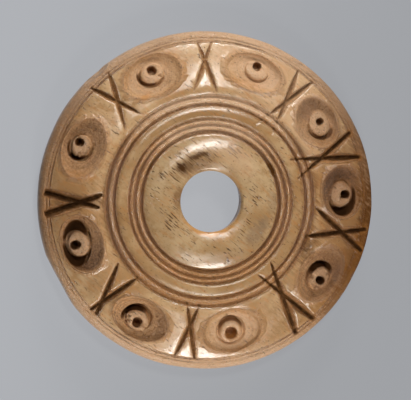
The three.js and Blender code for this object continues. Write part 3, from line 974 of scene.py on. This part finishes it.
def dust_dirt_and_shade(tree, places, wear, colours, colour):
    """The colour with dust on the crests, brown grime and painted shade in the grooves and dishes, and dark
    specks
    """
    on_crest = times(tree, stepped(tree, wear.hollow, -0.08, -0.35), wear.crests)
    on_crest = times(tree, on_crest, wear.rough_face)
    colour = mixed(tree, times(tree, on_crest, 0.3), colour, colours.dust)
    colour = mixed(tree, attribute(tree, "groove_dirt"), colour, colours.halo_and_shade)
    colour = mixed(tree, times(tree, attribute(tree, "scuffed"), 0.15), colour, colours.cut)
    uneven = stepped(tree, wear.grit, 0.25, 0.6, 1.15, 0.7)
    brown = maths(tree, "MULTIPLY", attribute(tree, "brown_dirt"), uneven, True)
    colour = mixed(tree, brown, colour, colours.halo_and_shade)
    colour = mixed(tree, stepped(tree, brown, 0.45, 1.0, 0, 0.8), colour, colours.stain)
    specks = stepped(tree, noise(tree, places.plain, 3.2, 3, 0.7), 0.56, 0.68, 0, 0.55)
    specks = larger(tree, specks, stepped(tree, wear.fine_grit, 0.6, 0.72, 0, 0.45))
    colour = mixed(tree, times(tree, specks, wear.rough_face), colour, colours.halo_and_shade)
    dots = stepped(tree, noise(tree, places.plain, 4.4, 1, 0.5), 0.7, 0.76, 0, 0.75)
    return mixed(tree, dots, colour, colours.stain)


def soiled_and_shaded(tree, places, wear, colours, colour):
    """The colour with nearly black grime and painted shade in the eyes, strokes and hollows, and how much of
    both lies there
    """
    black = attribute(tree, "black_dirt")
    colour = mixed(tree, stepped(tree, black, 0.1, 0.4), colour, colours.halo_and_shade)
    # Painted shade: places that lie under the smoothed surface round them are darkened as shade darkens a
    # hollow
    hollow = maths(tree, "ADD", wear.hollow, times(tree, wear.grit, 0.3))
    soil_and_shade = larger(tree, stepped(tree, hollow, 0.7, 1.6), stepped(tree, black, 0.35, 1.0))
    patchy = stepped(tree, noise(tree, places.plain, 1.5, 2, 0.6), 0.35, 0.55, 0.75, 1)
    soil_and_shade = larger(tree, soil_and_shade, times(tree, attribute(tree, "stroke"), patchy))
    return mixed(tree, times(tree, soil_and_shade, 0.9), colour, colours.soil_and_shade), soil_and_shade


def polish(tree, places, wear, soil_and_shade, dull):
    """Roughness and shine: the polish is gone from cuts, grime and painted shade, and rubbed back on the
    crests
    """
    worn = larger(tree, wear.rough_face, stepped(tree, places.radius, 4.8, 4.1))
    worn = larger(tree, worn, attribute(tree, "scuffed"))
    rubbed = times(tree, stepped(tree, wear.hollow, -0.12, -0.4), wear.crests)
    worn = times(tree, worn, maths(tree, "SUBTRACT", 1.0, rubbed))
    roughness = stepped(tree, worn, 0, 1, 0.18, 0.34)
    lost = times(tree, larger(tree, soil_and_shade, dull), 0.6)
    shine = maths(tree, "SUBTRACT", stepped(tree, worn, 0, 1, 0.85, 0.42), lost, True)
    return roughness, shine


def fine_relief(tree, places, wear):
    """Grit and tool lines on the rough faces, faint fibres everywhere, and the pores sunk in"""
    turned_lines = noise(tree, places.turning, 1.4, 3, 0.65)
    drilled_lines = noise(tree, places.drilling, 1.0, 3, 0.6)
    lines = times(tree, maths(tree, "ADD", turned_lines, drilled_lines), 0.45)
    coarse = maths(tree, "ADD", wear.grit, times(tree, wear.fine_grit, 0.7))
    relief = times(tree, maths(tree, "ADD", coarse, lines), wear.rough_face)
    fibres = times(tree, noise(tree, places.fibres, 7.0, 4, 0.7), 0.12)
    relief = maths(tree, "ADD", relief, fibres)
    return maths(tree, "SUBTRACT", relief, times(tree, wear.pores, 0.3))


def bone_material(colours):
    """Old bone: polished faces, rough brown cuts, grime and painted shade in the hollows, painted light and
    shade laid round the face, pores along the grain
    """
    material = bpy.data.materials.new("old_bone")
    material.use_nodes = True
    tree = material.node_tree
    tree.nodes.clear()
    places = BonePlaces(tree)
    wear = BoneWear(tree, places)
    colour, dull = stains_light_and_shade(tree, places, colours, bare_bone(tree, places, wear, colours))
    colour = dust_dirt_and_shade(tree, places, wear, colours, colour)
    colour, soil_and_shade = soiled_and_shaded(tree, places, wear, colours, colour)
    roughness, shine = polish(tree, places, wear, soil_and_shade, dull)
    relief = fine_relief(tree, places, wear)
    bump = node(tree, "ShaderNodeBump", {"Height": relief, "Strength": 0.9, "Distance": 0.00026})
    surface = node(tree, "ShaderNodeBsdfPrincipled", {
        "Base Color": colour, "Roughness": roughness, "Normal": bump.outputs[0], "IOR": 1.6,
        "Specular IOR Level": shine, "Subsurface Weight": 0.12, "Subsurface Scale": 0.0008,
        "Subsurface Radius": (1.0, 0.6, 0.35),
    })
    node(tree, "ShaderNodeOutputMaterial", {"Surface": surface.outputs[0]})
    return material


class CarvedWhorl(bpy.types.Operator):
    """Turn the bone blank, drill its eyes, cut its crosses and give it its worn surface"""

    bl_idname = "mesh.carved_whorl_add"
    bl_label = "Carved whorl"

    def execute(self, context):
        whorl = carve_whorl(context.scene.whorl_sizes)
        placed(whorl, Matrix.Identity(4))
        mark_wear(whorl)
        placed(whorl, Matrix.Scale(MM, 4))
        bpy.ops.object.shade_smooth()
        whorl.data.materials.clear()
        whorl.data.materials.append(bone_material(context.scene.bone_colours))
        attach(whorl, "root")
        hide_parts("spindle_whorl")
        return {"FINISHED"}


def area_light(name, power, size, height, place, colour):
    deselect()
    bpy.ops.object.light_add(type="AREA", location=place)
    light = bpy.context.object
    light.name = name
    light.rotation_euler = Vector(place).to_track_quat("Z", "Y").to_euler()
    light.data.shape = "RECTANGLE"
    light.data.size, light.data.size_y = size, height
    light.data.energy, light.data.color = power, colour


def plain_floor(colour):
    """A plain grey floor that shines a little by itself, as a lit table does, with painted light: it dims to
    the right and is brighter in a round pool under the whorl
    """
    deselect()
    bpy.ops.mesh.primitive_plane_add(size=3, location=(0, 0, -FLOOR_GAP))
    floor = bpy.context.object
    floor.name = "floor"
    material = bpy.data.materials.new("plain_floor")
    material.use_nodes = True
    tree = material.node_tree
    tree.nodes.clear()
    place = node(tree, "ShaderNodeTexCoord").outputs["Object"]
    split = node(tree, "ShaderNodeSeparateXYZ", {0: place})
    # Painted light: brighter to the left and dimmer to the right
    slant = maths(tree, "SUBTRACT", split.outputs[0], times(tree, split.outputs[1], 0.25))
    share = stepped(tree, slant, -0.03, 0.03)
    tint = mixed(tree, share, tuple(part * 1.12 for part in colour), tuple(part * 0.86 for part in colour))
    # Painted light: a round pool, brighter under the whorl than further out
    out = node(tree, "ShaderNodeVectorMath", {0: place}, operation="LENGTH").outputs["Value"]
    tint = mixed(tree, stepped(tree, out, 0.0, 0.024), tint, (0.8, 0.8, 0.8), "MULTIPLY")
    surface = node(tree, "ShaderNodeBsdfPrincipled", {
        "Base Color": (*(0.15 * part for part in colour), 1), "Roughness": 0.9,
        "Specular IOR Level": 0.1, "Emission Color": tint, "Emission Strength": 0.85,
    })
    node(tree, "ShaderNodeOutputMaterial", {"Surface": surface.outputs[0]})
    floor.data.materials.append(material)


def direction(azimuth, elevation):
    a, e = math.radians(azimuth), math.radians(elevation)
    return Vector((math.cos(a) * math.cos(e), math.sin(a) * math.cos(e), math.sin(e)))


class WhorlStage(bpy.types.Operator):
    """Add the plain floor, the soft lights and the camera over the whorl"""

    bl_idname = "scene.whorl_stage_add"
    bl_label = "Floor, lights and camera"

    def execute(self, context):
        studio = context.scene.studio_settings
        plain_floor(studio.floor)
        for name, width, height, azimuth, elevation, colour in LIGHTS:
            place = direction(azimuth, elevation) * LIGHT_DISTANCE
            area_light(name, getattr(studio, name), width, height, place, colour)
        world = bpy.data.worlds.new("studio")
        context.scene.world = world
        world.use_nodes = True
        world.node_tree.nodes["Background"].inputs["Color"].default_value = (0.8, 0.88, 1.0, 1)
        world.node_tree.nodes["Background"].inputs["Strength"].default_value = 0.03
        context.scene.view_settings.view_transform = "Standard"

        back = direction(CAMERA_AZIMUTH, 90 - math.degrees(studio.tilt))
        across = Vector((0, 1, 0)).cross(back).normalized()
        up = back.cross(across)
        deselect()
        bpy.ops.object.camera_add()
        camera = context.object
        camera.name = "camera"
        target = Vector((0, 0, 0.001)) + across * 0.000095
        camera.matrix_world = Matrix.Translation(target + back * CAMERA_DISTANCE) @ Matrix(
            (across, up, back)
        ).transposed().to_4x4()
        camera.data.sensor_width = 36
        camera.data.lens = camera.data.sensor_width * CAMERA_DISTANCE / SEEN_WIDTH
        camera.data.clip_start, camera.data.clip_end = 0.01, 10
        context.scene.camera = camera
        return {"FINISHED"}


class WhorlPanel(bpy.types.Panel):
    bl_idname = "VIEW3D_PT_bone_whorl"
    bl_label = "Bone spindle whorl"
    bl_space_type = "VIEW_3D"
    bl_region_type = "UI"
    bl_category = "Whorl"

    def draw(self, context):
        for group in (context.scene.whorl_sizes, context.scene.bone_colours, context.scene.studio_settings):
            for name in group.__annotations__:
                self.layout.prop(group, name)
        self.layout.operator(CarvedWhorl.bl_idname)
        self.layout.operator(WhorlStage.bl_idname)


CLASSES = (WhorlSizes, BoneColours, StudioSettings, CarvedWhorl, WhorlStage, WhorlPanel)


def register():
    for part in CLASSES:
        bpy.utils.register_class(part)
    bpy.types.Scene.whorl_sizes = bpy.props.PointerProperty(type=WhorlSizes)
    bpy.types.Scene.bone_colours = bpy.props.PointerProperty(type=BoneColours)
    bpy.types.Scene.studio_settings = bpy.props.PointerProperty(type=StudioSettings)


def unregister():
    del bpy.types.Scene.studio_settings
    del bpy.types.Scene.bone_colours
    del bpy.types.Scene.whorl_sizes
    for part in reversed(CLASSES):
        bpy.utils.unregister_class(part)


def main():
    register()
    bpy.ops.mesh.carved_whorl_add()
    bpy.ops.scene.whorl_stage_add()


if __name__ == "__main__":
    main()
